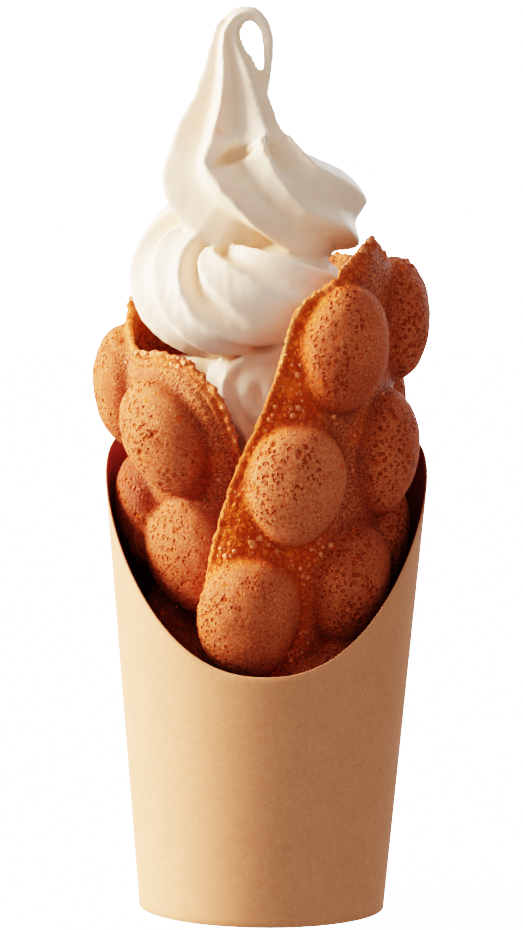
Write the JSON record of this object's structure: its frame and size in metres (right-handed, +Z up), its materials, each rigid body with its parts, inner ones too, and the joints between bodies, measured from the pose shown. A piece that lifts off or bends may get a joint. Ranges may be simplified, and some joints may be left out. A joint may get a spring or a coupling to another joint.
{
  "type": "bubble waffle with soft serve",
  "caption": "Rolled bubble waffle with egg-shaped bubbles, filled with swirled soft serve and standing in a plain kraft paper scoop cup.",
  "frame": {"origin": "middle of the whole's outline on the floor that the cup stands on; the cup's own axis is 1.8 mm to the right and 1.8 mm to the front of it", "axes": "+Z up along the cup, -Y towards the cup's low scooped front, +X to the right seen from that front"},
  "size_m": [0.097, 0.0925, 0.2579],
  "materials": {
    "kraft_paper": "matt brown kraft paper with fine fibres",
    "kraft_board": "matt brown kraft board",
    "baked_waffle": "baked crust: matt pinkish-brown bubbles with fine pores, golden orange between them",
    "soft_serve": "smooth cream-white soft serve with a soft sheen"
  },
  "bodies": {
    "root": {"cup_wall": "kraft_paper", "cup_base": "kraft_board", "waffle": "baked_waffle", "soft_serve": "soft_serve"}
  },
  "joints": []
}
